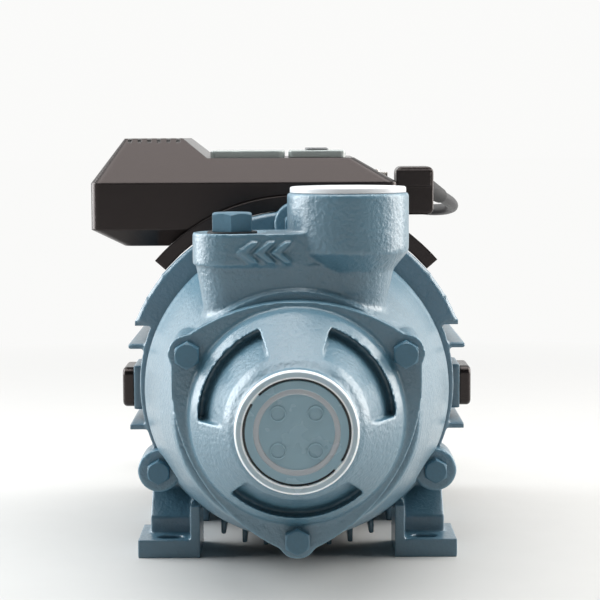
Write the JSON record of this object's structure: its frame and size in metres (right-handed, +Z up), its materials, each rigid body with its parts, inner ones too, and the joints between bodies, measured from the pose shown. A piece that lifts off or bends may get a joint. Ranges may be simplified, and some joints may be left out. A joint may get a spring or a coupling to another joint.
{
  "type": "shallow well jet pump",
  "caption": "Front-suction jet pump with a finned motor, upright discharge port, priming plug and a black controller on top.",
  "frame": {"origin": "middle of the four foot slots, on the floor", "axes": "+Z up, the shaft along Y at 80 mm height, the suction port facing -Y, +X to the right seen from the suction side"},
  "size_m": [0.1804, 0.4121, 0.195],
  "materials": {
    "cast_paint": "satin paint over a rough sand casting",
    "frame_paint": "satin paint over a die casting",
    "bolt_paint": "satin paint over steel",
    "black_plastic": "fine matt texture",
    "cap_plastic": "translucent, moulded",
    "white_cap": "smooth",
    "panel_white": "frosted",
    "key_grey": "smooth",
    "screw_steel": "zinc plated",
    "steel": "machined",
    "brass": "machined casting",
    "rubber": "matt",
    "moulded": "moulded",
    "lamination": "stacked sheet",
    "copper": "enamelled wire",
    "ceramic": "ground",
    "board": "coated",
    "cord": "smooth PVC",
    "fan_cover_black": "moulded"
  },
  "bodies": {
    "pump": {"front_cover": "cast_paint", "cover_bolts": "bolt_paint", "cover_seal": "rubber", "jet_nozzle": "brass", "venturi_tube": "moulded", "pump_casing": "cast_paint", "casing_bolts": "bolt_paint", "diffuser": "moulded", "seal_seat": "ceramic", "front_bearing": "steel", "rear_bearing": "steel", "wave_washer": "steel", "stator_core": "lamination", "windings": "copper", "motor_frame": "frame_paint", "side_plugs": "black_plastic", "end_shield": "frame_paint", "shield_screws": "steel", "fan_cover": "fan_cover_black", "fan_cover_screws": "steel", "controller_base": "black_plastic", "controller_case": "black_plastic", "display_panel": "panel_white", "keypad_panel": "panel_white", "case_screws": "screw_steel", "circuit_board": "board", "run_capacitor": "moulded", "outlet_block": "black_plastic", "cord_boot": "rubber", "cord_lead": "cord", "cord_tail": "cord", "cord_coil": "cord", "cord_tie": "black_plastic", "mains_plug": "black_plastic", "plug_pins": "brass"},
    "rotor": {"shaft": "steel", "impeller_key": "steel", "impeller_nut": "steel", "impeller": "brass", "seal_head": "rubber", "slinger": "rubber", "rotor_core": "lamination", "fan": "moulded"},
    "suction_cap": {"suction_cap": "cap_plastic"},
    "discharge_cap": {"discharge_cap": "white_cap"},
    "plug_washer": {"plug_washer": "rubber"},
    "priming_plug": {"priming_plug": "bolt_paint"},
    "key_1": {"key_1": "key_grey"},
    "key_2": {"key_2": "key_grey"},
    "key_3": {"key_3": "key_grey"},
    "key_4": {"key_4": "key_grey"}
  },
  "joints": [
    {"name": "rotor_spin", "type": "hinge", "parent": "pump", "child": "rotor", "pos_m": [0, 0, 0.08], "axis": [0, 1, 0], "continuous": true},
    {"name": "suction_cap_pull", "type": "slide", "parent": "pump", "child": "suction_cap", "axis": [0, -1, 0], "range_m": [0, 0.03]},
    {"name": "discharge_cap_pull", "type": "slide", "parent": "pump", "child": "discharge_cap", "axis": [0, 0, 1], "range_m": [0, 0.03]},
    {"name": "priming_plug_rise", "type": "slide", "parent": "pump", "child": "plug_washer", "axis": [0, 0, 1], "range_m": [0, 0.01203]},
    {"name": "priming_plug_turn", "type": "hinge", "parent": "plug_washer", "child": "priming_plug", "pos_m": [-0.027, -0.1195, 0.15], "axis": [0, 0, 1], "range_deg": [0, 3240]},
    {"name": "key_1_press", "type": "slide", "parent": "pump", "child": "key_1", "axis": [0, 0, -1], "range_m": [0, 0.0008], "stiffness_N_per_m": 300},
    {"name": "key_2_press", "type": "slide", "parent": "pump", "child": "key_2", "axis": [0, 0, -1], "range_m": [0, 0.0008], "stiffness_N_per_m": 300},
    {"name": "key_3_press", "type": "slide", "parent": "pump", "child": "key_3", "axis": [0, 0, -1], "range_m": [0, 0.0008], "stiffness_N_per_m": 300},
    {"name": "key_4_press", "type": "slide", "parent": "pump", "child": "key_4", "axis": [0, 0, -1], "range_m": [0, 0.0008], "stiffness_N_per_m": 300}
  ],
  "couplings": [
    {"joint": "priming_plug_turn", "follows": "priming_plug_rise", "rad_per_m": 4699.5}
  ]
}
